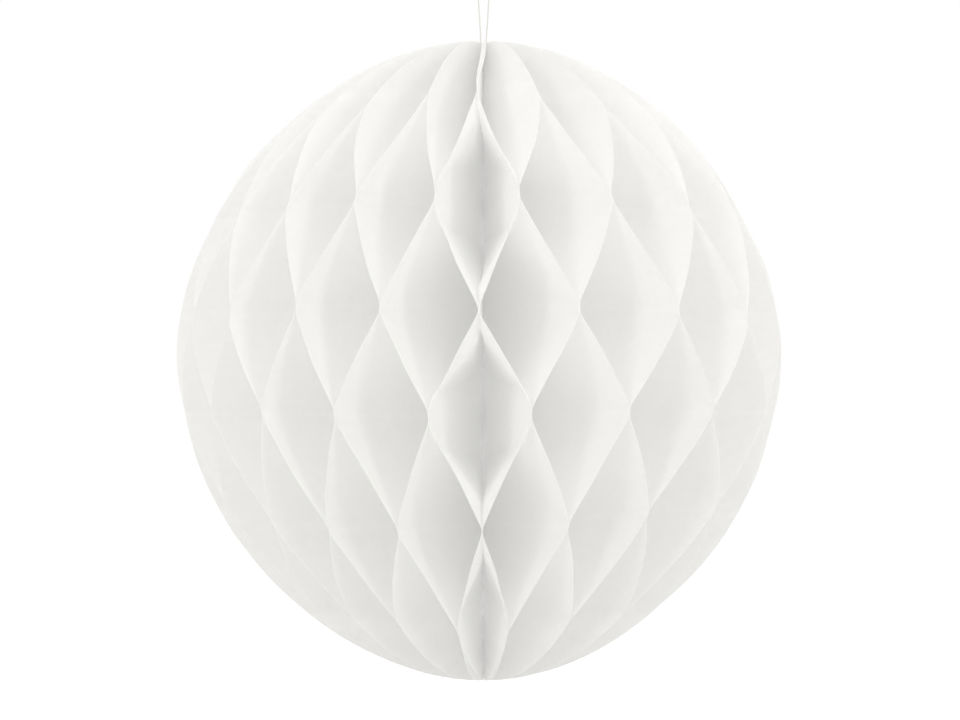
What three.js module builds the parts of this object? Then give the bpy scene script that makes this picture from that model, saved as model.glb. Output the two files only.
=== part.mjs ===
// A honeycomb paper ball: half discs of white tissue, glued to each other along level lines
// that alternate from side to side, opened all the way round into a ball and hung by a thread.
// Millimetres, +Z up along the spine, origin at the middle of the ball. The front faces -Y.
import * as THREE from 'three';

// The ball
const BALL_HEIGHT = 200;
const BALL_WIDTH = 190;
const PROFILE_POWER = 1.86; // 2 is an ellipse; a lower power draws the shoulders in a little
const CELL_COLUMNS = 20; // columns of diamond cells round the ball, two leaves to a column

// The paper and its glue lines
const TISSUE = 0.2; // thickness of one leaf
const GLUE_FILM = 0.2; // space between two leaves where they are glued
const GLUE_LINE = 4; // height of a glue line
const GLUE_PITCH = 33.3; // from one glue line to the next, along the flat sheet
const GLUE_SHIFT = -1.9; // how far the middle of the rows lies from the middle of the ball
const TIP_WIDTH = 1; // width of a leaf's level end at the poles
const BEND = 0.15; // 0 is a sharp crease beside a glue line, 1 a soft wave
const SLOPE_STEPS = [0.2, 0.8]; // where the bend is followed, as shares of the way between lines
const TIP_STEPS = [0.3, 0.6, 0.85, 1]; // the same from the last line to the pole

// How unevenly the leaves are spread round the spine
const FAN_LEAN = 9; // degrees by which the back of the fan has swung round
const FRONT_GATHER = 1.8; // degrees by which the leaves crowd towards the front

// The thread
const THREAD_DIAMETER = 0.45;
const THREAD_SIDES = 8;
const THREAD_STEPS = 64;
const THREAD_ROUTE = [
  [-2.3, 0, 88],
  [-2.1, 0, 91],
  [-1.7, 0, 94],
  [-1.25, 0, 97],
  [-0.9, 0, 100],
  [-0.85, 0, 103],
  [-1.1, 0, 107],
  [-1.4, 0, 112],
  [-1.75, 0, 117],
  [-2.1, 0, 122],
  [-2.45, 0, 127],
  [-2.6, 0, 130],
  [-2.25, 0, 132.6],
  [-1.25, 0, 134.4],
  [0, 0, 135],
  [1.25, 0, 134.4],
  [2.25, 0, 132.6],
  [2.6, 0, 130],
  [2.5, 0, 127],
  [2.2, 0, 122],
  [1.9, 0, 117],
  [1.6, 0, 112],
  [1.3, 0, 107],
  [1.0, 0, 103],
  [0.95, 0, 100],
  [1.25, 0, 97],
  [1.7, 0, 94],
  [2.1, 0, 91],
  [2.3, 0, 88],
];

const HALF_HEIGHT = BALL_HEIGHT / 2;
const LEAF_COUNT = CELL_COLUMNS * 2;
const LEAF_ANGLE = (2 * Math.PI) / LEAF_COUNT;
const LEAF_SPACING = TISSUE + GLUE_FILM; // from the middle of one glued leaf to the next

const tissuePaper = new THREE.MeshStandardMaterial({
  color: 0xf1f2ee,
  roughness: 0.85,
  metalness: 0,
});
const whiteThread = new THREE.MeshStandardMaterial({
  color: 0xe6e6e2,
  roughness: 0.9,
  metalness: 0,
});

// The plane halfway between leaf `number` and the next one, as an angle round the spine.
// Zero faces the front, and the plane between the last leaf and the first lies there.
function gluePlaneAngle(number) {
  const even = number * LEAF_ANGLE;
  const lean = THREE.MathUtils.degToRad(FAN_LEAN) * (1 - Math.cos(even));
  const gather = THREE.MathUtils.degToRad(FRONT_GATHER) * Math.sin(2 * even);
  return even + lean - gather;
}

// Half the angle between the two glue planes that a leaf lies between.
function halfWedge(leaf) {
  return (gluePlaneAngle(leaf) - gluePlaneAngle(leaf - 1)) / 2;
}

// The straight edges of the leaves stand round a narrow spine, packed side by side.
function findSpineRadius() {
  let narrowest = Math.PI;
  for (let leaf = 1; leaf <= LEAF_COUNT; leaf += 1) {
    narrowest = Math.min(narrowest, halfWedge(leaf));
  }
  return LEAF_SPACING / (2 * Math.tan(narrowest));
}

const SPINE_RADIUS = findSpineRadius();

// Distance of the cut edge from the spine's axis, at a height on the cut edge.
function edgeRadius(height) {
  const across = 1 - Math.abs(height / HALF_HEIGHT) ** PROFILE_POWER;
  const tip = SPINE_RADIUS + TIP_WIDTH;
  return tip + (BALL_WIDTH / 2 - tip) * Math.max(across, 0) ** (1 / PROFILE_POWER);
}

// Opening the leaf pulls its glue lines together at the cut edge, because the slanted paper
// between two lines keeps its length. At the spine they stay a full pitch apart.
function rowsOutwards() {
  const rows = [];
  const reach = HALF_HEIGHT - Math.abs(GLUE_SHIFT) - GLUE_LINE;
  let edge = 0;
  for (let spine = GLUE_PITCH / 2; spine < reach; spine += GLUE_PITCH) {
    const sweep = edgeRadius(edge + GLUE_PITCH / 2) * LEAF_ANGLE;
    const rise = Math.sqrt(GLUE_PITCH ** 2 - sweep ** 2);
    edge += rows.length === 0 ? rise / 2 : rise;
    rows.push({ spine, edge });
  }
  return rows;
}

// The leaf's stations from bottom to top: a height at the spine, a height at the cut edge,
// and the side that the paper leans to there, from -1 to 1.
function leafStations() {
  const upper = rowsOutwards();
  const lower = upper.map((row) => ({ spine: -row.spine, edge: -row.edge })).reverse();
  const rows = [...lower, ...upper].map((row, index) => ({
    spine: row.spine + GLUE_SHIFT,
    edge: row.edge + GLUE_SHIFT,
    side: index % 2 === 0 ? 1 : -1,
  }));
  const stations = [];
  const half = GLUE_LINE / 2;

  function addTip(row, sign) {
    const tip = TIP_STEPS.map((step) => {
      const bulge = Math.sin((step * Math.PI) / 2);
      const spine = row.spine + sign * half;
      const edge = row.edge + sign * half;
      return {
        spine: THREE.MathUtils.lerp(spine, sign * HALF_HEIGHT, bulge),
        edge: THREE.MathUtils.lerp(edge, sign * HALF_HEIGHT, bulge),
        side: row.side,
      };
    });
    stations.push(...(sign < 0 ? tip.reverse() : tip));
  }

  addTip(rows[0], -1);
  rows.forEach((row, index) => {
    for (const end of [-half, half]) {
      stations.push({ spine: row.spine + end, edge: row.edge + end, side: row.side });
    }
    const next = rows[index + 1];
    if (!next) return;
    for (const step of SLOPE_STEPS) {
      const turn = step - (BEND * Math.sin(2 * Math.PI * step)) / (2 * Math.PI);
      stations.push({
        spine: THREE.MathUtils.lerp(row.spine + half, next.spine - half, step),
        edge: THREE.MathUtils.lerp(row.edge + half, next.edge - half, step),
        side: THREE.MathUtils.lerp(row.side, next.side, turn),
      });
    }
  });
  addTip(rows[rows.length - 1], 1);
  return stations;
}

const STATIONS = leafStations();

// A point of a leaf: `radius` from the axis along a line that starts at the spine and points
// along `angle`, moved `offset` across it.
function leafPoint(radius, angle, offset, height) {
  const alongX = Math.sin(angle);
  const alongY = -Math.cos(angle);
  return new THREE.Vector3(
    radius * alongX - offset * alongY,
    radius * alongY + offset * alongX,
    height,
  );
}

// The four corners of a leaf's section at a station. Where the leaf is glued, its middle lies
// half a leaf spacing short of the glue plane, so that glued leaves stay a film apart.
function leafSection(leaf, station) {
  const turned = leaf % 2 === 0 ? -station.side : station.side;
  const middle = (gluePlaneAngle(leaf) + gluePlaneAngle(leaf - 1)) / 2;
  const angle = middle + turned * halfWedge(leaf);
  const offset = (-turned * LEAF_SPACING) / 2;
  const edge = edgeRadius(station.edge);
  const half = TISSUE / 2;
  return [
    leafPoint(SPINE_RADIUS, angle, offset - half, station.spine),
    leafPoint(edge, angle, offset - half, station.edge),
    leafPoint(edge, angle, offset + half, station.edge),
    leafPoint(SPINE_RADIUS, angle, offset + half, station.spine),
  ];
}

// A closed solid through a row of four-cornered sections. The two broad walls are split along
// the same diagonals, so the wall between them keeps its thickness where it twists.
function solidThroughSections(sections) {
  const points = sections.flat();
  const indices = [];
  const last = (sections.length - 1) * 4;

  function addQuad(a, b, c, d) {
    indices.push(a, b, c, a, c, d);
  }

  for (let low = 0; low < last; low += 4) {
    const high = low + 4;
    addQuad(low, low + 1, high + 1, high);
    addQuad(low + 1, low + 2, high + 2, high + 1);
    addQuad(low + 3, high + 3, high + 2, low + 2);
    addQuad(low + 3, low, high, high + 3);
  }
  addQuad(3, 2, 1, 0);
  addQuad(last, last + 1, last + 2, last + 3);
  const geometry = new THREE.BufferGeometry().setFromPoints(points);
  geometry.setIndex(indices);
  geometry.computeVertexNormals();
  return geometry;
}

function makeTissueLeaf(leaf) {
  const sections = STATIONS.map((station) => leafSection(leaf, station));
  const mesh = new THREE.Mesh(solidThroughSections(sections), tissuePaper);
  mesh.name = `tissue_leaf_${String(leaf).padStart(2, '0')}`;
  return mesh;
}

function makeHangingThread() {
  const section = new THREE.Shape();
  for (let side = 0; side < THREAD_SIDES; side += 1) {
    const angle = (side * 2 * Math.PI) / THREAD_SIDES;
    const x = (THREAD_DIAMETER / 2) * Math.cos(angle);
    const y = (THREAD_DIAMETER / 2) * Math.sin(angle);
    if (side === 0) section.moveTo(x, y);
    else section.lineTo(x, y);
  }
  section.closePath();
  const route = new THREE.CatmullRomCurve3(
    THREAD_ROUTE.map((point) => new THREE.Vector3(...point)),
  );
  const geometry = new THREE.ExtrudeGeometry(section, {
    extrudePath: route,
    steps: THREAD_STEPS,
  });
  const mesh = new THREE.Mesh(geometry, whiteThread);
  mesh.name = 'hanging_thread';
  return mesh;
}

const ball = new THREE.Group();
for (let leaf = 1; leaf <= LEAF_COUNT; leaf += 1) {
  ball.add(makeTissueLeaf(leaf));
}
ball.add(makeHangingThread());

export default ball;
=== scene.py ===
# %% [markdown]
# # A honeycomb paper ball
# The ball is a fan of forty half discs of white tissue. Neighbours are glued to each other along
# short level lines, and the lines alternate from one side of a leaf to the other. Opened all the
# way round its spine, every leaf has to swing to and fro between its two neighbours, and that is
# what makes the diamond cells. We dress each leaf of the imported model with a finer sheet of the
# same form, twist a real thread, and light everything softly. Sizes are in metres.

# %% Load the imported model
import math

import bmesh
import bpy
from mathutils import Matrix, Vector, noise


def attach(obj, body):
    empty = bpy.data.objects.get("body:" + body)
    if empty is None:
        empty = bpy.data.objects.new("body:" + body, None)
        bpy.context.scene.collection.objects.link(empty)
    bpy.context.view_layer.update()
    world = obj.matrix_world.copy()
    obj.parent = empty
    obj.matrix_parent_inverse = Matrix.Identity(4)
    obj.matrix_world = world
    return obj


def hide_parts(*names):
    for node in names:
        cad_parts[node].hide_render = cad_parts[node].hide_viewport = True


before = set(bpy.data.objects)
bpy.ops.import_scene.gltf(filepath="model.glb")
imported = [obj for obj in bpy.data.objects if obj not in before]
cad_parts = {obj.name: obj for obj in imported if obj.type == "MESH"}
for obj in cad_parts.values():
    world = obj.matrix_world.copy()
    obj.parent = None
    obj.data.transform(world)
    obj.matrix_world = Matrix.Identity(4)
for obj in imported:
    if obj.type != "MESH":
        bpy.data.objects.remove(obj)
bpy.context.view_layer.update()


# %% [markdown]
# ## The camera
# A ball photographed from close by hides the leaves at its sides, so the distance matters as much
# as the lens. The camera stands about six hundred millimetres away, level with the middle of the
# ball, and looks up by less than a degree. It stands a little to one side of the spine, because
# the ball fills the picture slightly off its spine.

# %% Camera
CAMERA_DISTANCE = 0.6078
CAMERA_ELEVATION = math.radians(-0.91)
CAMERA_SIDE = -0.00105
AIM_HEIGHT = -0.000133
SENSOR_MILLIMETRES = 36
IMAGE_PIXELS = 960
FOCAL_PIXELS = 1911.9
CLIP = (0.01, 100)


def make_camera():
    """The photograph's camera, level with the ball and aimed close to its middle."""
    lens = bpy.data.cameras.new("camera")
    lens.sensor_width = SENSOR_MILLIMETRES
    lens.lens = FOCAL_PIXELS * SENSOR_MILLIMETRES / IMAGE_PIXELS
    lens.clip_start, lens.clip_end = CLIP
    camera = bpy.data.objects.new("camera", lens)
    bpy.context.scene.collection.objects.link(camera)
    aim = Vector((CAMERA_SIDE, 0, AIM_HEIGHT))
    away = Vector((0, -math.cos(CAMERA_ELEVATION), math.sin(CAMERA_ELEVATION)))
    camera.location = aim + away * CAMERA_DISTANCE
    camera.rotation_mode = "QUATERNION"
    camera.rotation_quaternion = (-away).to_track_quat("-Z", "Y")
    bpy.context.scene.camera = camera
    return lens


lens = make_camera()
print("lens", round(lens.lens, 1), "mm")


# %% [markdown]
# ## Shared helpers
# Every sheet and tube here is a flat grid that a formula bends into place, which is how paper and
# thread are really formed. The grid operator gives the faces, and the formula only says where each
# crossing of the grid goes.

# %% Helpers
def bend_grid(columns, rows, place):
    """A grid of columns by rows crossings, each moved to place(column, row)."""
    mesh = bmesh.new()
    bmesh.ops.create_grid(mesh, x_segments=columns - 1, y_segments=rows - 1, size=0.5)
    for vert in mesh.verts:
        column = round((vert.co.x + 0.5) * (columns - 1))
        row = round((vert.co.y + 0.5) * (rows - 1))
        vert.co = place(column, row)
    mesh.verts.index_update()
    return mesh


def finish_piece(mesh, name, material, node):
    """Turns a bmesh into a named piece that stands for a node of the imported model."""
    data = bpy.data.meshes.new(name)
    mesh.to_mesh(data)
    mesh.free()
    data.materials.append(material)
    piece = bpy.data.objects.new(name, data)
    bpy.context.scene.collection.objects.link(piece)
    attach(piece, "root")
    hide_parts(node)
    return piece


def add_node(tree, kind, place, **values):
    """A shader node at a place in the editor, with its named inputs set."""
    node = tree.nodes.new(kind)
    node.location = place
    for name, value in values.items():
        node.inputs[name.replace("_", " ")].default_value = value
    return node


def math_node(tree, operation, place, *values):
    """A Math node. A value is a number, or the socket that feeds it."""
    node = tree.nodes.new("ShaderNodeMath")
    node.operation = operation
    node.location = place
    for socket, value in zip(node.inputs, values):
        if isinstance(value, bpy.types.NodeSocket):
            tree.links.new(value, socket)
        else:
            socket.default_value = value
    return node.outputs[0]


def new_material(name):
    """An empty node material and its output node."""
    material = bpy.data.materials.new(name)
    material.use_nodes = True
    tree = material.node_tree
    tree.nodes.clear()
    return material, tree, add_node(tree, "ShaderNodeOutputMaterial", (900, 0))


print("helpers ready")


# %% [markdown]
# ## Fibres
# Tissue and cotton thread are both fibres. Held to the light, tissue is cloudy, because the fibres
# lie thicker in some places, and close to it shows short hairs. One node group draws both, and the
# paper and the thread use it with their own scales.

# %% Fibre group
def make_fibre_group():
    """A node group with two noises: broad clouds and fine hairs."""
    group = bpy.data.node_groups.new("fibres", "ShaderNodeTree")
    face = group.interface
    face.new_socket("Vector", in_out="INPUT", socket_type="NodeSocketVector")
    for name in ("Cloud Scale", "Hair Scale"):
        face.new_socket(name, in_out="INPUT", socket_type="NodeSocketFloat")
    for name in ("Cloud", "Hair"):
        face.new_socket(name, in_out="OUTPUT", socket_type="NodeSocketFloat")
    entry = add_node(group, "NodeGroupInput", (-700, 0))
    leave = add_node(group, "NodeGroupOutput", (300, 0))
    cloud = add_node(group, "ShaderNodeTexNoise", (-300, 150), Detail=2.0, Roughness=0.6)
    hair = add_node(group, "ShaderNodeTexNoise", (-300, -150), Detail=1.0)
    for node, scale in ((cloud, "Cloud Scale"), (hair, "Hair Scale")):
        group.links.new(entry.outputs["Vector"], node.inputs["Vector"])
        group.links.new(entry.outputs[scale], node.inputs["Scale"])
    group.links.new(cloud.outputs["Fac"], leave.inputs["Cloud"])
    group.links.new(hair.outputs["Fac"], leave.inputs["Hair"])
    return group


fibres = make_fibre_group()


def add_fibres(tree, place, vector, cloud_scale, hair_scale):
    """The fibre group in a material, with as many clouds and hairs to a metre as given."""
    node = tree.nodes.new("ShaderNodeGroup")
    node.node_tree = fibres
    node.location = place
    node.inputs["Cloud Scale"].default_value = cloud_scale
    node.inputs["Hair Scale"].default_value = hair_scale
    tree.links.new(vector, node.inputs["Vector"])
    return node


print("fibre group has", len(fibres.nodes), "nodes")


# %% [markdown]
# ## The hanging thread
# A thread loop is fixed inside the spine, leaves the ball at its top and closes a little above the
# picture. A curve with a round bevel would be quick, but a real thread is twisted from plies. So
# we wrap a grid round the route and give its section three lobes that turn as they go along.

# %% Thread route
THREAD_DIAMETER = 0.00045
THREAD_ROUTE = [
    (-0.0023, 0, 0.088),
    (-0.0021, 0, 0.091),
    (-0.0017, 0, 0.094),
    (-0.00125, 0, 0.097),
    (-0.0009, 0, 0.100),
    (-0.00085, 0, 0.103),
    (-0.0011, 0, 0.107),
    (-0.0014, 0, 0.112),
    (-0.00175, 0, 0.117),
    (-0.0021, 0, 0.122),
    (-0.00245, 0, 0.127),
    (-0.0026, 0, 0.130),
    (-0.00225, 0, 0.1326),
    (-0.00125, 0, 0.1344),
    (0, 0, 0.135),
    (0.00125, 0, 0.1344),
    (0.00225, 0, 0.1326),
    (0.0026, 0, 0.130),
    (0.0025, 0, 0.127),
    (0.0022, 0, 0.122),
    (0.0019, 0, 0.117),
    (0.0016, 0, 0.112),
    (0.0013, 0, 0.107),
    (0.0010, 0, 0.103),
    (0.00095, 0, 0.100),
    (0.00125, 0, 0.097),
    (0.0017, 0, 0.094),
    (0.0021, 0, 0.091),
    (0.0023, 0, 0.088),
]
THREAD_STEP = 0.00011


def smooth_route(points, step):
    """Points about a step apart on a smooth curve through all the given points."""
    corners = [Vector(point) for point in points]
    corners = [2 * corners[0] - corners[1], *corners, 2 * corners[-1] - corners[-2]]
    line = []
    for before, start, end, after in zip(corners, corners[1:], corners[2:], corners[3:]):
        pieces = max(1, round((end - start).length / step))
        for piece in range(pieces):
            t = piece / pieces
            line.append(0.5 * (
                2 * start
                + (end - before) * t
                + (2 * before - 5 * start + 4 * end - after) * t**2
                + (3 * start - before - 3 * end + after) * t**3
            ))
    return [*line, corners[-2]]


thread_line = smooth_route(THREAD_ROUTE, THREAD_STEP)
thread_length = sum((b - a).length for a, b in zip(thread_line, thread_line[1:]))
print("thread", len(thread_line), "points,", round(thread_length * 1000, 1), "mm")


# %% Thread finish
THREAD_COLOUR = (0.79, 0.79, 0.76)
THREAD_SHADES = (0.86, 1.08)
THREAD_CLOUDS = 4000.0
THREAD_HAIRS = 12000.0
THREAD_BUMP = 0.00004
COTTON_ROUGHNESS = 0.9
COTTON_SHEEN = 0.25


def make_thread_material():
    """Matt cotton, darker and lighter by turns, with fine hairs."""
    material, tree, output = new_material("white_thread")
    place = add_node(tree, "ShaderNodeTexCoord", (-900, 0)).outputs["Object"]
    grain = add_fibres(tree, (-650, 0), place, THREAD_CLOUDS, THREAD_HAIRS)
    ramp = add_node(tree, "ShaderNodeMix", (-300, 100))
    ramp.data_type = "RGBA"
    for socket, shade in zip(("A", "B"), THREAD_SHADES):
        ramp.inputs[socket].default_value = (*(shade * c for c in THREAD_COLOUR), 1)
    tree.links.new(grain.outputs["Cloud"], ramp.inputs["Factor"])
    bump = add_node(tree, "ShaderNodeBump", (-300, -200), Strength=0.4, Distance=THREAD_BUMP)
    tree.links.new(grain.outputs["Hair"], bump.inputs["Height"])
    cotton = add_node(tree, "ShaderNodeBsdfPrincipled", (300, 0), Sheen_Weight=COTTON_SHEEN)
    cotton.inputs["Roughness"].default_value = COTTON_ROUGHNESS
    tree.links.new(ramp.outputs["Result"], cotton.inputs["Base Color"])
    tree.links.new(bump.outputs["Normal"], cotton.inputs["Normal"])
    tree.links.new(cotton.outputs["BSDF"], output.inputs["Surface"])
    return material


white_thread = make_thread_material()
print("made", white_thread.name)


# %% Thread
PLIES = 3
PLY_DEPTH = 0.13
TWIST_LENGTH = 0.0016
THREAD_SIDES = 18
SAME_POINT = 1e-7


def make_thread():
    """A grid rolled round the route, with a three-ply section that turns once a twist length."""
    def place(column, row):
        before = thread_line[max(row - 1, 0)]
        after = thread_line[min(row + 1, len(thread_line) - 1)]
        along = (after - before).normalized()
        across = Vector((0, 1, 0))
        upright = along.cross(across)
        angle = 2 * math.pi * column / THREAD_SIDES
        turn = 2 * math.pi * row * THREAD_STEP / TWIST_LENGTH
        lobe = 1 - PLY_DEPTH + PLY_DEPTH * math.cos(PLIES * (angle - turn))
        radius = THREAD_DIAMETER / 2 * lobe
        return thread_line[row] + radius * (math.cos(angle) * upright + math.sin(angle) * across)

    mesh = bend_grid(THREAD_SIDES + 1, len(thread_line), place)
    bmesh.ops.remove_doubles(mesh, verts=mesh.verts[:], dist=SAME_POINT)
    ends = [edge for edge in mesh.edges if edge.is_boundary]
    bmesh.ops.holes_fill(mesh, edges=ends, sides=THREAD_SIDES)
    bmesh.ops.recalc_face_normals(mesh, faces=mesh.faces[:])
    for face in mesh.faces:
        face.smooth = len(face.verts) == 4
    thread = finish_piece(mesh, "thread_loop", white_thread, "hanging_thread")
    return thread


thread = make_thread()
print("thread has", len(thread.data.polygons), "faces")


# %% [markdown]
# ## The form of a leaf
# A leaf lies between two glue planes, one to each neighbour. It touches one plane at the first glue
# line, swings over to the other plane for the next, and so on up the ball. At the spine the glue
# lines keep the spacing of the flat sheet. At the cut edge the slanting paper needs its length to
# cross the cell, so the lines come closer together there. These are the same rules that the packed
# model follows, written here in metres and with many more steps, so that the paper bends softly.

# %% Sizes of the ball
BALL_HEIGHT = 0.200
BALL_WIDTH = 0.190
PROFILE_POWER = 1.86
CELL_COLUMNS = 20
GLUE_LINE = 0.004
GLUE_PITCH = 0.0333
GLUE_SHIFT = -0.0019
TIP_WIDTH = 0.001
FAN_LEAN = math.radians(9)
FRONT_GATHER = math.radians(1.8)
EDGE_TISSUE = 0.00012
SPINE_TISSUE = 0.00005
GLUE_FILM = 0.00001

HALF_HEIGHT = BALL_HEIGHT / 2
LEAF_COUNT = CELL_COLUMNS * 2
LEAF_ANGLE = 2 * math.pi / LEAF_COUNT


def glue_plane_angle(number):
    """The plane between leaf `number` and the next, as an angle from the front."""
    even = number * LEAF_ANGLE
    return even + FAN_LEAN * (1 - math.cos(even)) - FRONT_GATHER * math.sin(2 * even)


def half_wedge(leaf):
    """Half the angle between the two glue planes of a leaf."""
    return (glue_plane_angle(leaf) - glue_plane_angle(leaf - 1)) / 2


narrowest = min(half_wedge(leaf) for leaf in range(1, LEAF_COUNT + 1))
SPINE_RADIUS = (SPINE_TISSUE + GLUE_FILM) / (2 * math.tan(narrowest))


def edge_radius(height):
    """Distance of the cut edge from the spine at a height."""
    across = max(1 - abs(height / HALF_HEIGHT) ** PROFILE_POWER, 0)
    tip = SPINE_RADIUS + TIP_WIDTH
    return tip + (BALL_WIDTH / 2 - tip) * across ** (1 / PROFILE_POWER)


print("spine radius", round(SPINE_RADIUS * 1000, 2), "mm")


# %% [markdown]
# ## The glue rows
# Six rows of glue lines cross every leaf. We find their heights from the middle outwards. Then we
# list the stations of a leaf from its bottom tip to its top tip. A station is one row of crossings
# in the grid that becomes the leaf: it lies on a glue line, or a share of the way to the next one.

# %% Glue rows
def glue_rows():
    """Spine height and edge height of each row, from the bottom up."""
    upper = []
    edge = 0
    spine = GLUE_PITCH / 2
    while spine < HALF_HEIGHT - abs(GLUE_SHIFT) - GLUE_LINE:
        sweep = edge_radius(edge + GLUE_PITCH / 2) * LEAF_ANGLE
        rise = math.sqrt(GLUE_PITCH**2 - sweep**2)
        edge += rise if upper else rise / 2
        upper.append((spine, edge))
        spine += GLUE_PITCH
    lower = [(-spine, -edge) for spine, edge in reversed(upper)]
    return [(spine + GLUE_SHIFT, edge + GLUE_SHIFT) for spine, edge in lower + upper]


ROWS = glue_rows()
TOP_ROW = len(ROWS) - 1
print("rows at", [round(edge * 1000, 1) for spine, edge in ROWS], "mm")


# %% Stations
LINE_STEPS = [-1, 0, 1]
SLOPE_STEPS = 20
TIP_STEPS = 14


def leaf_stations():
    """(row, way, share): on a row from one end of its glue line to the other, then on towards
    the next row or the pole by a share of the way."""
    tip = [step / TIP_STEPS for step in range(1, TIP_STEPS + 1)]
    stations = [(0, "down", share) for share in reversed(tip)]
    for row in range(len(ROWS)):
        stations += [(row, "line", end) for end in LINE_STEPS]
        if row < TOP_ROW:
            stations += [(row, "up", step / SLOPE_STEPS) for step in range(1, SLOPE_STEPS)]
    return stations + [(TOP_ROW, "tip", share) for share in tip]


STATIONS = leaf_stations()
print(len(ROWS), "rows,", len(STATIONS), "stations")


# %% [markdown]
# ## How unevenly it has been opened
# A ball that was opened by hand is never quite even: each glued edge has wandered a little to one
# side, and up or down. At the front the shifts were measured. They are listed by row from the
# bottom up, as the number of a glue plane and its shift sideways and upwards in millimetres. Round
# the back a soft noise makes shifts of the same size. A glue line turns about the spine as a whole,
# and both of its leaves turn with it, so they stay glued. One line near the top, right of the seam,
# also bows towards the seam. The outer paper has slumped slightly to one side, and the tips reach a
# little past the poles.

# %% Unevenness
MILLIMETRE = 0.001
FRONT_SHIFTS = [
    {39: (1.4, -3.2), 1: (-0.3, -2.8)},
    {
        34: (1.7, -1.6), 36: (1.0, -2.0), 38: (0.4, -2.1), 0: (0.7, -1.6),
        2: (0.2, -0.5), 4: (-1.7, 2.6), 6: (0.4, 2.8),
    },
    {
        33: (0.4, 0.5), 35: (-0.2, 0.7), 37: (-0.8, 0.3), 39: (-0.1, -0.1),
        1: (0.3, 0.7), 3: (-0.5, 1.4), 5: (-0.9, 1.2), 7: (0.0, 0.6),
    },
    {
        34: (-0.9, -1.9), 36: (-0.1, 0.2), 38: (-0.2, -0.3), 0: (-0.1, -1.2),
        2: (-0.8, -0.5), 4: (0.4, -1.0), 6: (-0.3, -3.0),
    },
    {
        35: (0.0, -0.3), 37: (0.2, 0.5), 39: (-0.1, 0.6),
        1: (-1.5, 1.4), 3: (-0.4, 0.9), 5: (0.5, -1.2),
    },
    {38: (1.8, 2.7), 0: (-1.1, 2.5), 2: (-0.9, 1.6)},
]
BACK_SHIFT = (1.2, 2.0)
BACK_SEEDS = (3.1, 8.6)
BACK_STEP = (0.37, 1.7)
SPINE_LIFT = [0.0, 0.0, 0.0, 0.004, 0.0, 0.0]
SIDE_SLUMP = -0.00137
BOWED_LINE = (2, 5)
BOW = -0.3
TOP_REACH = 0.0004
BOTTOM_REACH = 0.0010
REACH_POWER = 8


def mix(a, b, t):
    """The value a share t of the way from a to b."""
    return a + (b - a) * t


def edge_shift(plane, row):
    """How far the cut edge has wandered at a glue line, sideways and upwards."""
    number = plane % LEAF_COUNT
    if number in FRONT_SHIFTS[row]:
        shift = FRONT_SHIFTS[row][number]
    else:
        spots = (Vector((number * BACK_STEP[0], row * BACK_STEP[1], seed)) for seed in BACK_SEEDS)
        shift = [most * noise.noise(spot) for most, spot in zip(BACK_SHIFT, spots)]
    return [amount * MILLIMETRE for amount in shift]


def glue_line(plane, row, out):
    """Angle and height of a glue line, at a share of the way out from the spine."""
    spine, edge = ROWS[row]
    sideways, upwards = edge_shift(plane, row)
    angle = glue_plane_angle(plane) + sideways / edge_radius(edge)
    if (plane, row) == BOWED_LINE:
        angle += BOW * (1 - out)
    return angle, mix(spine + SPINE_LIFT[row], edge + upwards, out)


def slump(point):
    """The outer paper sinks a little to one side, and the tips reach past the poles."""
    reach = math.hypot(point.x, point.y) / (BALL_WIDTH / 2)
    pole = TOP_REACH if point.z > 0 else -BOTTOM_REACH
    rise = pole * abs(point.z / HALF_HEIGHT) ** REACH_POWER
    return point + Vector((SIDE_SLUMP * reach, 0, rise))


most_up = max(up for row in FRONT_SHIFTS for _, up in row.values())
print("glued edges wander upwards by up to", most_up, "mm")


# %% [markdown]
# ## Where the leaves touch
# At a glue line two leaves are one. Soft tissue doesn't fold sharply where it leaves the glue: it
# starts its swing in a round bend, runs straight across the cell, and ends in a bend again. The
# bends are short at the cut edge and wide near the spine. Only the first and the last leaf are
# different. They were joined last, at the front, and pressed together there. So near the spine they
# lie against each other, and against their other neighbours, for much longer.

# %% Contact
TOUCH = 0.0004
SEAM_TOUCH = 0.010
END_LEAVES = (1, LEAF_COUNT)
END_TOUCH_EDGE = 0.04
END_TOUCH_WALL = 0.4
END_TOUCH_SPINE = 0.2
END_TOUCH_POWER = 8
END_TOUCH_MOST = 0.95


def glued_plane(leaf, row):
    """The plane that a leaf is glued to at a row: towards the next leaf or the one before."""
    return leaf if leaf % 2 != row % 2 else leaf - 1


def seam_contact(out):
    """How far the first and the last leaf lie against each other, up and down from their glue."""
    return TOUCH + SEAM_TOUCH * (1 - out)


def contact(leaf, row, out, way):
    """How far a leaf lies against its glue plane, upwards (1) or downwards (-1) from a row."""
    plane = glued_plane(leaf, row)
    if plane % LEAF_COUNT == 0:
        return seam_contact(out)
    if leaf not in END_LEAVES or row + way < 0:
        return TOUCH
    depth = 1 - out
    _, here = glue_line(plane, row, out)
    _, there = glue_line(0, row + way, out)
    share = END_TOUCH_EDGE + END_TOUCH_WALL * math.sqrt(depth)
    share += END_TOUCH_SPINE * depth**END_TOUCH_POWER
    return min(share, END_TOUCH_MOST) * (abs(there - here) - seam_contact(out))


print("leaves touch for", 2 * TOUCH, "m at the cut edge")


# %% Bends
EDGE_ROUND = 0.08
SEAM_ROUND = 0.03
DEPTH_ROUND = 1.5
MOST_ROUND = 0.5
MOST_END_ROUND = 0.15


def bend_share(leaf, plane, out):
    """The share of a slope that its round bend takes up, next to a glue plane."""
    at_edge = SEAM_ROUND if plane % LEAF_COUNT == 0 else EDGE_ROUND
    most = MOST_END_ROUND if leaf in END_LEAVES else MOST_ROUND
    return min(at_edge + DEPTH_ROUND * (1 - out), most)


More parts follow.
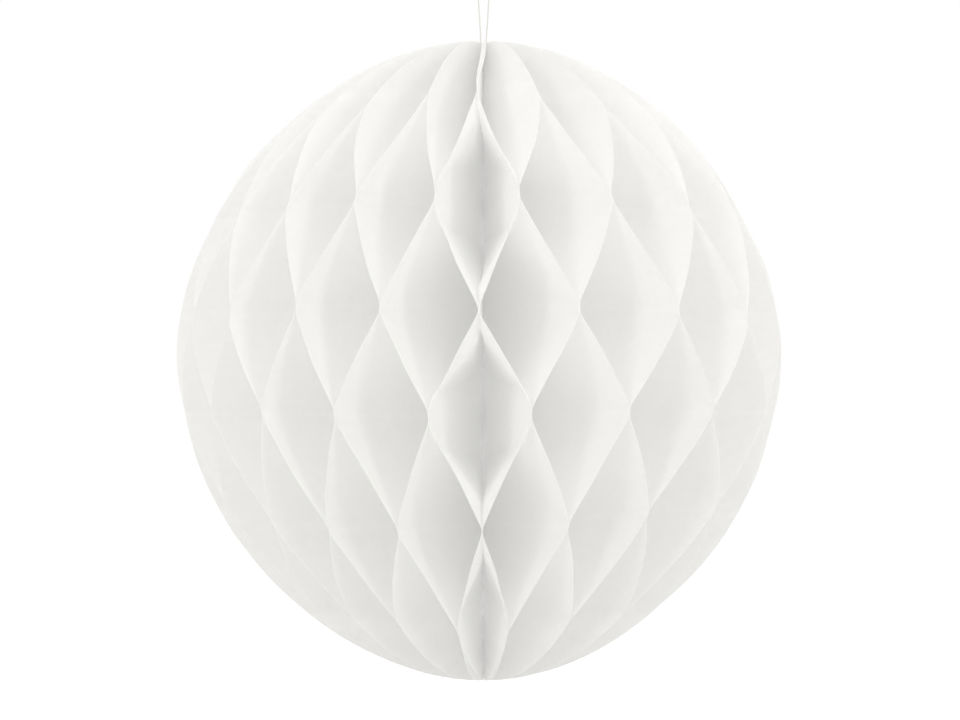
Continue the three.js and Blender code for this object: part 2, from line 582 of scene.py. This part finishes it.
def swing(share, first, last):
    """How far a leaf has crossed its cell: a straight run between two round bends."""
    slope = 1 / (1 - (first + last) / 2)
    if share < first:
        return slope * share**2 / (2 * first)
    if share > 1 - last:
        return 1 - slope * (1 - share) ** 2 / (2 * last)
    return slope * (share - first / 2)


print("bends take", EDGE_ROUND, "of a slope at the cut edge and", MOST_ROUND, "near the spine")


# %% Leaf surface
LOWER_TIPS = {1: 0.35, LEAF_COUNT: 0.8}


def tip_angle(leaf, plane, up):
    """Angle of a leaf at a pole. Below, the end leaves lean back towards the seam."""
    last = glue_plane_angle(plane)
    if up < 0 and leaf in LOWER_TIPS:
        seam = glue_plane_angle(LEAF_COUNT if leaf == LEAF_COUNT else 0)
        return mix(last, seam, LOWER_TIPS[leaf])
    return last


def leaf_at(leaf, station, out):
    """Angle, height and side of a leaf at a station, at a share of the way out from the spine."""
    row, way, share = station
    plane = glued_plane(leaf, row)
    side = 1 if plane == leaf else -1
    angle, here = glue_line(plane, row, out)
    if way == "line":
        return angle, here + share * contact(leaf, row, out, 1 if share > 0 else -1), side
    if way == "up":
        next_plane = glued_plane(leaf, row + 1)
        next_angle, above = glue_line(next_plane, row + 1, out)
        turn = swing(share, bend_share(leaf, plane, out), bend_share(leaf, next_plane, out))
        low = here + contact(leaf, row, out, 1)
        high = above - contact(leaf, row + 1, out, -1)
        return mix(angle, next_angle, turn), mix(low, high, share), mix(side, -side, turn)
    up = 1 if way == "tip" else -1
    bulge = math.sin(share * math.pi / 2)
    height = mix(here + up * contact(leaf, row, out, up), up * HALF_HEIGHT, bulge)
    return mix(angle, tip_angle(leaf, plane, up), bulge**2), height, side


print("leaf 1 starts at", [round(x, 4) for x in leaf_at(1, STATIONS[0], 1)])


# %% [markdown]
# ## The edges along the seam
# The two end leaves are creased where they were handled. Behind the cut edge they step back towards
# the seam, so a narrow strip of each faces the front and catches the light: small bright gables at
# the top and bottom of every seam cell. The widths are listed by slope from the bottom up, in
# millimetres. Above the top row the two edges run side by side up to the thread as one wavy strip,
# with both lips turned outwards. A crease could be cut into the mesh, but the grid already has a
# column there, so a sideways shift is enough.

# %% Seam edges
TURNED_EDGES = {1: [1.2, 2.2, 2.0, 1.6, 1.2], LEAF_COUNT: [2.2, 3.0, 4.0, 0.6, 3.0]}
TURNED_START = 0.95
SEAM_ROOM = 0.9
STRIP_LIP = 0.0006
STRIP_LIP_START = 0.97
STRIP_LIP_GROWTH = 4
STRIP_WAVE = [
    (0.0, -0.2), (0.1, -0.1), (0.2, 0.3), (0.3, 0.7), (0.45, 0.8), (0.65, 0.6), (1.0, 0.15),
]


def strip_wave(share):
    """Sideways wave of the strip where the two end leaves meet above the top row."""
    for (before, low), (after, high) in zip(STRIP_WAVE, STRIP_WAVE[1:]):
        if share <= after:
            return mix(low, high, (share - before) / (after - before)) * MILLIMETRE
    return 0.0


def end_leaf_shift(leaf, station, out, side, radius):
    """Sideways shift of an end leaf: its strip waves above the top row, and its edge turns out."""
    row, way, share = station
    away = 1 if leaf == 1 else -1
    if way == "tip":
        turned = max(out - STRIP_LIP_START, 0) / (1 - STRIP_LIP_START)
        lip = STRIP_LIP * turned**2 * min(share * STRIP_LIP_GROWTH, 1)
        return strip_wave(share) * out + away * lip
    if way == "up":
        crossed = (1 + away * side) / 2
        room = SEAM_ROOM * crossed * 2 * half_wedge(leaf) * radius
        inwards = min(TURNED_EDGES[leaf][row] * MILLIMETRE * (1 - crossed**2), room)
        behind = min((1 - out) / (1 - TURNED_START), out / TURNED_START)
        return -away * inwards * behind
    return 0.0


print("edges turn by up to", max(TURNED_EDGES[LEAF_COUNT]), "mm")


# %% [markdown]
# ## Tissue
# Thin tissue sends about half of the light that meets it back and lets the other half through. So
# the finish mixes a matt paper shader with a translucent one in equal parts. The glue shows as
# faint pale bands, placed with the leaf's own map, which is the flat sheet in decimetres.

# %% Tissue finish
PAPER_COLOUR = (0.992, 0.992, 0.992, 1)
PAPER_CLOUDS = 420.0
PAPER_HAIRS = 2600.0
PAPER_BUMP = 0.00006
PAPER_ROUGHNESS = 0.85
PAPER_SHINE = 0.2
CLOUD_DEPTH = 0.04
CLOUD_BASE = 0.977
GLUE_GAIN = 0.006
BAND_FADE = (0.65, 0.35)
LIGHT_THROUGH = 0.5
SHEET_UNIT = 0.1


def make_tissue_material():
    """Half matt paper, half translucent, with soft clouds, fine hairs and pale glue bands."""
    material, tree, output = new_material("white_tissue")
    coordinates = add_node(tree, "ShaderNodeTexCoord", (-1500, 0))
    place = coordinates.outputs["Object"]
    grain = add_fibres(tree, (-1100, 200), place, PAPER_CLOUDS, PAPER_HAIRS)
    sheet = add_node(tree, "ShaderNodeSeparateXYZ", (-1300, -250))
    tree.links.new(coordinates.outputs["UV"], sheet.inputs["Vector"])

    pitch = GLUE_PITCH / SHEET_UNIT
    first = (ROWS[0][0] - GLUE_PITCH / 2) / SHEET_UNIT
    along = math_node(tree, "SUBTRACT", (-1100, -250), sheet.outputs["Y"], first)
    cycle = math_node(tree, "FLOORED_MODULO", (-900, -250), along, pitch)
    from_line = math_node(tree, "SUBTRACT", (-700, -250), cycle, pitch / 2)
    distance = math_node(tree, "ABSOLUTE", (-500, -250), from_line)
    band = add_node(tree, "ShaderNodeMapRange", (-300, -250))
    band.interpolation_type = "SMOOTHSTEP"
    for socket, share in zip(("From Min", "From Max"), BAND_FADE):
        band.inputs[socket].default_value = share * GLUE_LINE / SHEET_UNIT
    tree.links.new(distance, band.inputs["Value"])

    cloud = grain.outputs["Cloud"]
    clouds = math_node(tree, "MULTIPLY_ADD", (-700, 250), cloud, CLOUD_DEPTH, CLOUD_BASE)
    glued = math_node(tree, "MULTIPLY_ADD", (-100, -250), band.outputs["Result"], GLUE_GAIN, 1.0)
    tint = add_node(tree, "ShaderNodeMix", (250, 100), Factor=1)
    tint.data_type = "RGBA"
    tint.blend_type = "MULTIPLY"
    tint.inputs["A"].default_value = PAPER_COLOUR
    tree.links.new(math_node(tree, "MULTIPLY", (100, 100), clouds, glued), tint.inputs["B"])
    bump = add_node(tree, "ShaderNodeBump", (100, -450), Strength=0.25, Distance=PAPER_BUMP)
    tree.links.new(grain.outputs["Hair"], bump.inputs["Height"])

    paper = add_node(tree, "ShaderNodeBsdfPrincipled", (400, 200), Roughness=PAPER_ROUGHNESS)
    paper.inputs["Specular IOR Level"].default_value = PAPER_SHINE
    through = add_node(tree, "ShaderNodeBsdfTranslucent", (400, -350))
    for shader, colour in ((paper, "Base Color"), (through, "Color")):
        tree.links.new(tint.outputs["Result"], shader.inputs[colour])
        tree.links.new(bump.outputs["Normal"], shader.inputs["Normal"])
    both = add_node(tree, "ShaderNodeMixShader", (700, 0), Fac=LIGHT_THROUGH)
    tree.links.new(paper.outputs["BSDF"], both.inputs[1])
    tree.links.new(through.outputs["BSDF"], both.inputs[2])
    tree.links.new(both.outputs["Shader"], output.inputs["Surface"])
    return material


white_tissue = make_tissue_material()
print("made", white_tissue.name)


# %% [markdown]
# ## The leaves
# Each leaf starts as a grid, one row of crossings to a station, bent to the form above. The columns
# lie closer together towards the cut edge, where the paper is seen best. Soft noise buckles the
# open paper between the glue lines by a few tenths of a millimetre, and lets the cut edge wander as
# a knife does. A Solidify modifier gives the sheet its thickness, and the outline's edges are
# marked sharp first, so the narrow cut edge catches the light by itself.

# %% Paper of a leaf
OUT_STEPS = 20
EDGE_SHARES = [0.97, 0.983, 0.992, 1]
OUT_SHARES = [step / OUT_STEPS for step in range(OUT_STEPS)] + EDGE_SHARES
BUCKLE = 0.0005
BUCKLE_SIZE = 0.016
BUCKLE_SEED = 7.3
CUT_WANDER = 0.0003
CUT_SIZE = 0.012
CUT_SEED = 3.7


def sheet_height(station):
    """Height of a station on the flat sheet, before the ball was opened."""
    row, way, share = station
    here = ROWS[row][0]
    if way == "line":
        return here + share * GLUE_LINE / 2
    if way == "up":
        return mix(here + GLUE_LINE / 2, ROWS[row + 1][0] - GLUE_LINE / 2, share)
    pole = HALF_HEIGHT if way == "tip" else -HALF_HEIGHT
    return mix(here, pole, share)


def leaf_point(leaf, station, out):
    """A point of a leaf's middle surface, and its distance from the spine."""
    _, edge_height, _ = leaf_at(leaf, station, 1)
    angle, height, side = leaf_at(leaf, station, out)
    cut = CUT_WANDER * noise.noise(Vector((leaf * CUT_SEED, edge_height / CUT_SIZE, 0)))
    radius = mix(SPINE_RADIUS, edge_radius(edge_height) + cut, out)
    along = Vector((math.sin(angle), -math.cos(angle), 0))
    across = Vector((-along.y, along.x, 0))
    spot = Vector((radius, leaf * BUCKLE_SEED, height)) / BUCKLE_SIZE
    sideways = BUCKLE * (1 - side**2) * out * noise.noise(spot)
    if leaf in END_LEAVES:
        sideways += end_leaf_shift(leaf, station, out, side, radius)
    spacing = mix(SPINE_TISSUE, EDGE_TISSUE, out) + GLUE_FILM
    flat = along * radius + across * (sideways - side * spacing / 2)
    return slump(flat + Vector((0, 0, height))), radius


print("a leaf's grid is", len(OUT_SHARES), "by", len(STATIONS))


# %% Leaves
def make_leaf(leaf):
    """One sheet of tissue, mapped as it lay flat, thinner at the spine than at its cut edge."""
    def place(column, row):
        return leaf_point(leaf, STATIONS[row], OUT_SHARES[column])[0]

    mesh = bend_grid(len(OUT_SHARES), len(STATIONS), place)
    sheet_map = mesh.loops.layers.uv.new("sheet")
    weights = mesh.verts.layers.deform.verify()
    for vert in mesh.verts:
        row, column = divmod(vert.index, len(OUT_SHARES))
        out = OUT_SHARES[column]
        vert[weights][0] = out
        _, radius = leaf_point(leaf, STATIONS[row], out)
        place_on_sheet = (radius / SHEET_UNIT, sheet_height(STATIONS[row]) / SHEET_UNIT)
        for loop in vert.link_loops:
            loop[sheet_map].uv = place_on_sheet
    for face in mesh.faces:
        face.smooth = True
    for rim in mesh.edges:
        rim.smooth = not rim.is_boundary
    number = f"{leaf:02d}"
    piece = finish_piece(mesh, f"leaf_{number}", white_tissue, f"tissue_leaf_{number}")
    piece.vertex_groups.new(name="towards_the_edge")
    wall = piece.modifiers.new("thickness", "SOLIDIFY")
    wall.thickness = EDGE_TISSUE
    wall.offset = 0
    wall.vertex_group = "towards_the_edge"
    wall.thickness_vertex_group = SPINE_TISSUE / EDGE_TISSUE
    return piece


leaves = [make_leaf(leaf) for leaf in range(1, LEAF_COUNT + 1)]
print(len(leaves), "leaves of", len(leaves[0].data.polygons), "faces")


# %% [markdown]
# ## Floor and room
# The ball hangs well above a pale floor, and its soft shadow falls there, below the picture. The
# floor glows a little, to the camera alone, so that it joins the white room without an edge. The
# room is white all round. To the camera it is plain white, and to the paper it is a softer light, a
# little stronger from above and from behind, as a white backdrop gives it.

# %% Floor
FLOOR_DEPTH = 0.6
FLOOR_HALF = 30
FLOOR_COLOUR = (0.72, 0.72, 0.72, 1)
FLOOR_GLOW = 0.5


def make_floor():
    """A wide pale floor that isn't part of the object."""
    mesh = bmesh.new()
    bmesh.ops.create_grid(mesh, x_segments=1, y_segments=1, size=FLOOR_HALF)
    bmesh.ops.translate(mesh, verts=mesh.verts[:], vec=(0, 0, -FLOOR_DEPTH))
    data = bpy.data.meshes.new("floor")
    mesh.to_mesh(data)
    mesh.free()
    floor = bpy.data.objects.new("floor", data)
    bpy.context.scene.collection.objects.link(floor)
    material, tree, output = new_material("pale_floor")
    matt = add_node(tree, "ShaderNodeBsdfDiffuse", (0, 100), Color=FLOOR_COLOUR)
    seen = add_node(tree, "ShaderNodeLightPath", (-300, -200)).outputs["Is Camera Ray"]
    glow = add_node(tree, "ShaderNodeEmission", (0, -150))
    strength = math_node(tree, "MULTIPLY", (-150, -250), seen, FLOOR_GLOW)
    tree.links.new(strength, glow.inputs["Strength"])
    both = add_node(tree, "ShaderNodeAddShader", (300, 0))
    tree.links.new(matt.outputs["BSDF"], both.inputs[0])
    tree.links.new(glow.outputs["Emission"], both.inputs[1])
    tree.links.new(both.outputs["Shader"], output.inputs["Surface"])
    data.materials.append(material)


make_floor()
print("floor at", -FLOOR_DEPTH, "m")


# %% Room
ROOM_LIGHT = 0.773
FRONT_LIGHT = 0.06
BACK_LIGHT = 0.5
TOP_LIGHT = 0.32
ROOM_COLOUR = (1.0, 0.993, 0.968, 1)


def make_room():
    """The world: plain white where it is seen, and a soft light with three lobes elsewhere."""
    world = bpy.data.worlds.new("white_room")
    world.use_nodes = True
    tree = world.node_tree
    tree.nodes.clear()
    output = add_node(tree, "ShaderNodeOutputWorld", (800, 0))
    direction = add_node(tree, "ShaderNodeTexCoord", (-1000, 300))
    axes = add_node(tree, "ShaderNodeSeparateXYZ", (-800, 300))
    tree.links.new(direction.outputs["Generated"], axes.inputs["Vector"])
    ahead = math_node(tree, "MULTIPLY", (-600, 350), axes.outputs["Y"], -1.0)
    strength = ROOM_LIGHT
    for place, side, light in (
        (600, axes.outputs["Y"], BACK_LIGHT),
        (400, ahead, FRONT_LIGHT),
        (200, axes.outputs["Z"], TOP_LIGHT),
    ):
        towards = math_node(tree, "MAXIMUM", (-400, place), side, 0.0)
        lobe = math_node(tree, "MULTIPLY", (-200, place), towards, towards)
        strength = math_node(tree, "MULTIPLY_ADD", (0, place), lobe, light, strength)
    path = add_node(tree, "ShaderNodeLightPath", (-600, -100)).outputs
    passed, spread = path["Is Transmission Ray"], path["Is Diffuse Ray"]
    clear = math_node(tree, "SUBTRACT", (-400, -200), passed, spread)
    shown = math_node(tree, "MAXIMUM", (-200, -100), path["Is Camera Ray"], path["Is Glossy Ray"])
    white = math_node(tree, "MAXIMUM", (0, -100), shown, clear)
    soft = add_node(tree, "ShaderNodeBackground", (300, 150), Color=ROOM_COLOUR)
    plain = add_node(tree, "ShaderNodeBackground", (300, -50), Color=(1, 1, 1, 1), Strength=1.0)
    tree.links.new(strength, soft.inputs["Strength"])
    both = add_node(tree, "ShaderNodeMixShader", (600, 0))
    tree.links.new(white, both.inputs["Fac"])
    tree.links.new(soft.outputs["Background"], both.inputs[1])
    tree.links.new(plain.outputs["Background"], both.inputs[2])
    tree.links.new(both.outputs["Shader"], output.inputs["Surface"])
    world.cycles.sampling_method = "NONE"
    bpy.context.scene.world = world


make_room()
print("room light", ROOM_LIGHT)


# %% [markdown]
# ## Lamps
# Two narrow soft boxes stand in front of the ball, one to each side. Each lights the outer part of
# the walls that face it, and the edge of the next leaf shades the rest. That draws the bright band
# along every cut edge. Broad lamps would blur it, and the room already gives most of the light, so
# the lamps are narrow and weak.

# %% Lamps
LAMP_DISTANCE = 2.0
LEFT_LAMP = math.radians(-29)
RIGHT_LAMP = math.radians(38)
LAMP_RISE = math.radians(12)
LAMP_SIZE = (0.3, 0.9)
LAMP_POWER = 5.0
LAMP_COLOUR = (1.0, 0.975, 0.90)


def make_lamp(name, angle):
    """A soft box that faces the ball from the front, at an angle to one side."""
    light = bpy.data.lights.new(name, "AREA")
    light.shape = "RECTANGLE"
    light.size, light.size_y = LAMP_SIZE
    light.energy = LAMP_POWER
    light.color = LAMP_COLOUR
    lamp = bpy.data.objects.new(name, light)
    bpy.context.scene.collection.objects.link(lamp)
    level = math.cos(LAMP_RISE)
    away = Vector((math.sin(angle) * level, -math.cos(angle) * level, math.sin(LAMP_RISE)))
    lamp.location = away * LAMP_DISTANCE
    lamp.rotation_mode = "QUATERNION"
    lamp.rotation_quaternion = away.to_track_quat("Z", "Y")
    lamp.visible_camera = False
    return lamp


lamps = [make_lamp("left_soft_box", LEFT_LAMP), make_lamp("right_soft_box", RIGHT_LAMP)]
print(len(lamps), "soft boxes of", LAMP_POWER, "W")


# %% [markdown]
# ## Last settings
# White paper looks right in a plain view transform. Deep in the cells, light wanders from leaf to
# leaf many times. To follow it to its end takes long, and to cut it off turns the cells black. Fast
# global illumination is the middle way: after a few bounces the rest is taken from the light of
# the room, a little dimmed. Its distance is tiny, so that the walls don't hold that rest back.

# %% View and bounces
scene = bpy.context.scene
scene.view_settings.view_transform = "Standard"
scene.cycles.max_bounces = 40
scene.cycles.diffuse_bounces = 32
scene.cycles.transmission_bounces = 24
scene.cycles.use_fast_gi = True
scene.cycles.fast_gi_method = "REPLACE"
scene.cycles.ao_bounces_render = 10
scene.world.light_settings.distance = 0.00002
scene.world.light_settings.ao_factor = 0.82
print("bounces", scene.cycles.max_bounces)
